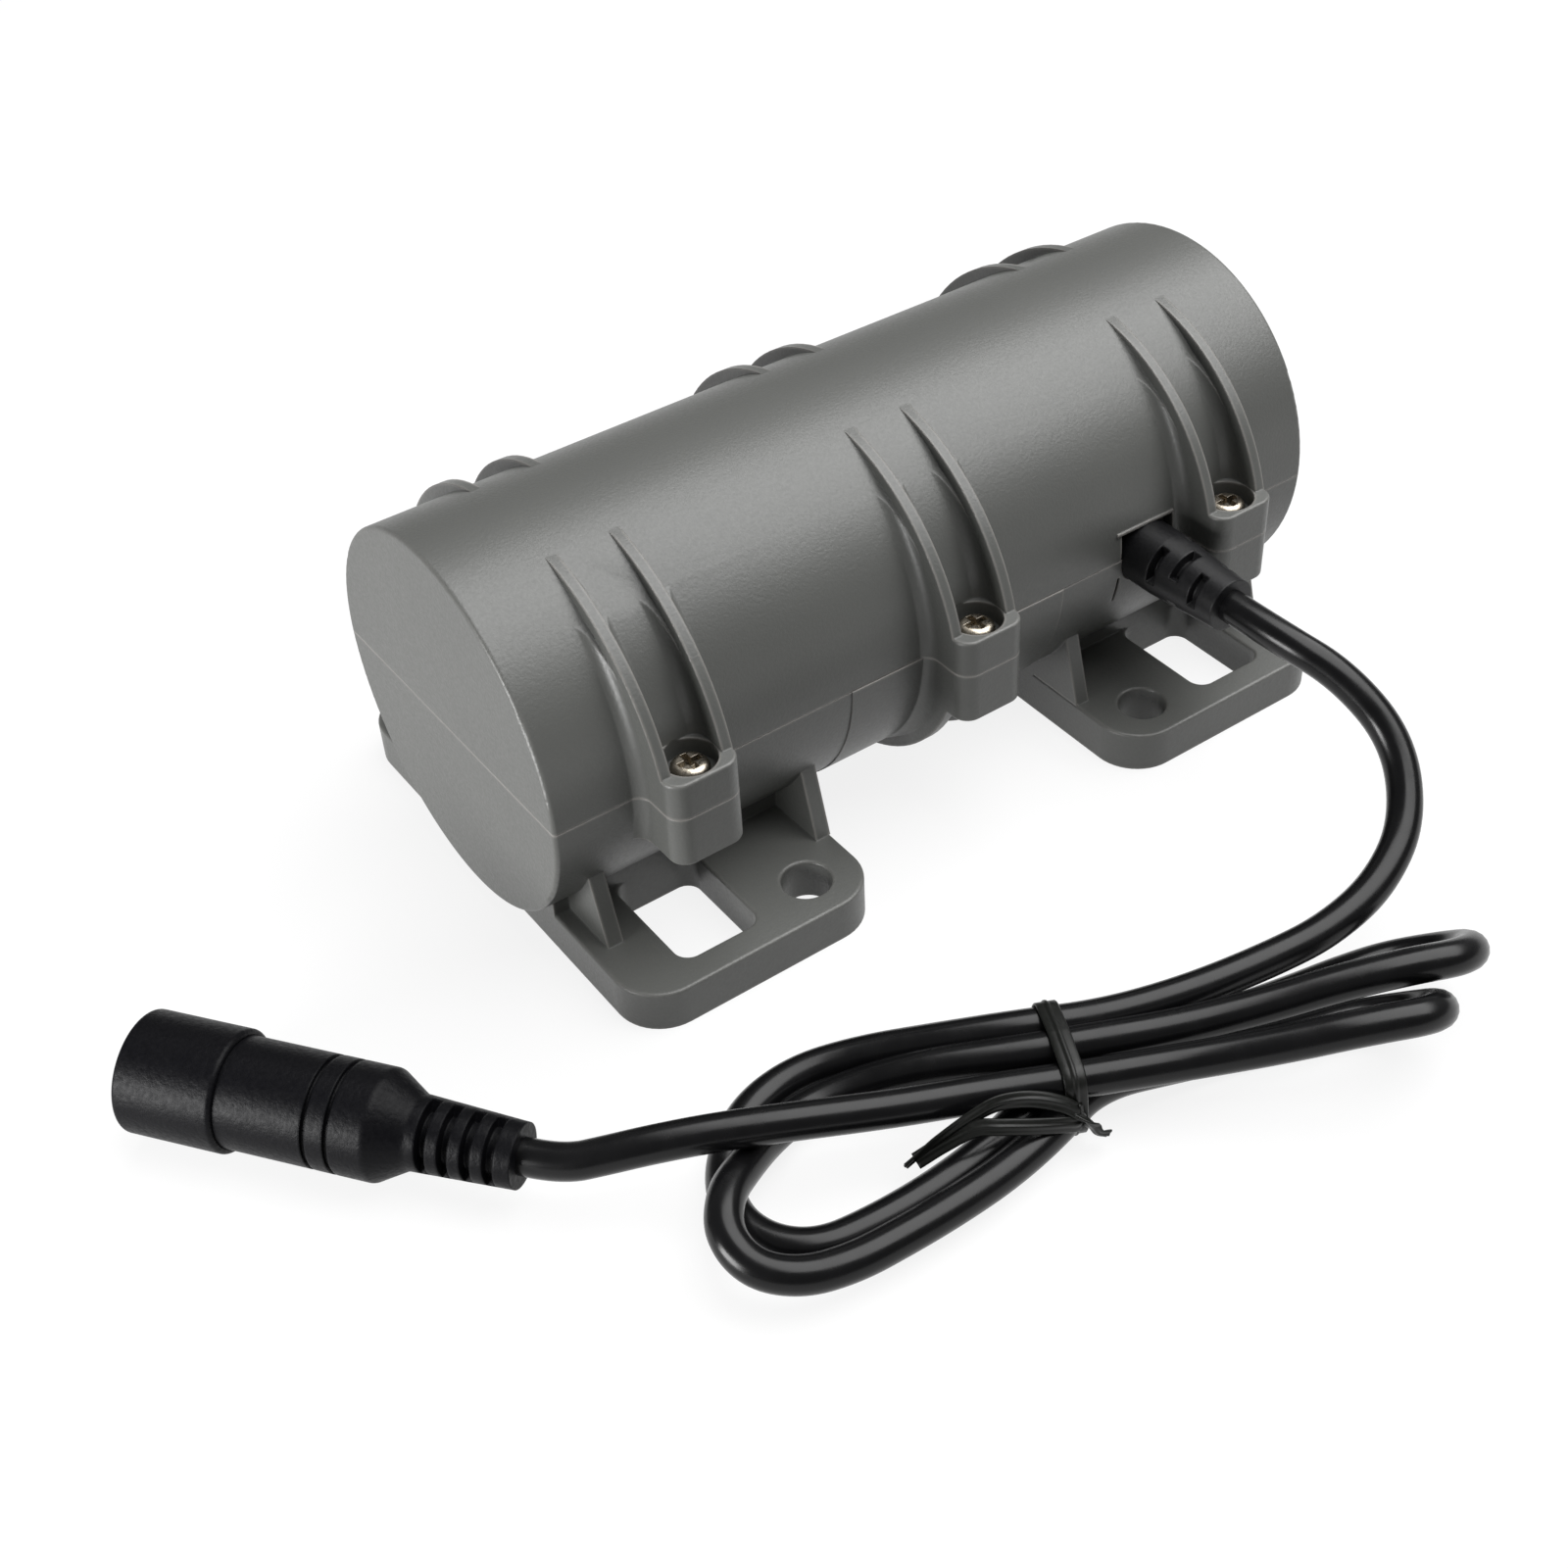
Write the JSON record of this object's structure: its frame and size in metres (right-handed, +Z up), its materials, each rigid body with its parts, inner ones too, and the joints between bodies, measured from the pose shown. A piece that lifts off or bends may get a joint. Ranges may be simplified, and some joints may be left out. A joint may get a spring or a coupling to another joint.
{
  "type": "vibration motor",
  "caption": "Small corded vibration motor: an unbalanced shaft in a clamshell housing on slotted mounting feet, with a barrel connector on a tied cord.",
  "frame": {"origin": "on the mounting plane, below the middle of the housing", "axes": "+X along the shaft towards the end where the cord leaves, +Z up from the mounting plane, the cord leaves on the -Y side"},
  "size_m": [0.1497, 0.1187, 0.0462],
  "materials": {
    "housing_plastic": "fine textured moulding, satin",
    "screw_nickel": "nickel plated",
    "relief_pvc": "moulded soft PVC, satin",
    "cord_pvc": "extruded PVC, glossy",
    "tie_pvc": "extruded flat tie, satin",
    "connector_plastic": "moulded, satin",
    "insulator_plastic": "moulded",
    "contact_nickel": "nickel plated brass",
    "can_steel": "deep drawn and zinc plated",
    "cap_plastic": "moulded nylon",
    "lamination_steel": "stamped and stacked laminations",
    "winding_copper": "enamelled copper wire",
    "board_laminate": "solder-masked laminate",
    "chip_epoxy": "moulded epoxy",
    "red_wire": "PVC insulation",
    "black_wire": "PVC insulation",
    "grip_rubber": "moulded",
    "bearing_steel": "ground and polished",
    "cage_brass": "pressed",
    "magnet_ferrite": "sintered",
    "weight_steel": "sintered and oiled",
    "grub_steel": "black oxide"
  },
  "bodies": {
    "housing": {"upper_shell": "housing_plastic", "lower_shell": "housing_plastic", "housing_screws": "screw_nickel", "strain_relief": "relief_pvc", "cord_lead": "cord_pvc", "cord_hank": "cord_pvc", "cord_tail": "cord_pvc", "twist_tie": "tie_pvc", "connector_body": "connector_plastic", "connector_collar": "connector_plastic", "jack_insulator": "insulator_plastic", "jack_barrel_contact": "contact_nickel", "jack_centre_pin": "contact_nickel", "motor_can": "can_steel", "motor_end_cap": "cap_plastic", "stator_core": "lamination_steel", "stator_windings": "winding_copper", "driver_board": "board_laminate", "board_screws": "bearing_steel", "driver_chips": "chip_epoxy", "hall_sensors": "chip_epoxy", "motor_terminals": "contact_nickel", "red_lead": "red_wire", "black_lead": "black_wire", "front_grip_band": "grip_rubber", "rear_grip_band": "grip_rubber", "front_bearing_outer_race": "bearing_steel", "rear_bearing_outer_race": "bearing_steel"},
    "rotor": {"motor_shaft": "bearing_steel", "rotor_core": "lamination_steel", "rotor_magnets": "magnet_ferrite", "front_bearing_inner_race": "bearing_steel", "rear_bearing_inner_race": "bearing_steel", "front_eccentric_weight": "weight_steel", "rear_eccentric_weight": "weight_steel", "weight_grub_screws": "grub_steel"},
    "ball_cages": {"front_bearing_balls": "bearing_steel", "rear_bearing_balls": "bearing_steel", "front_ball_cage": "cage_brass", "rear_ball_cage": "cage_brass"}
  },
  "joints": [
    {"name": "rotor_spin", "type": "hinge", "parent": "housing", "child": "rotor", "pos_m": [0, 0, 0.0242], "axis": [1, 0, 0], "continuous": true},
    {"name": "cage_spin", "type": "hinge", "parent": "housing", "child": "ball_cages", "pos_m": [0, 0, 0.0242], "axis": [1, 0, 0], "continuous": true}
  ],
  "couplings": [
    {"joint": "cage_spin", "follows": "rotor_spin", "ratio": 0.372}
  ]
}
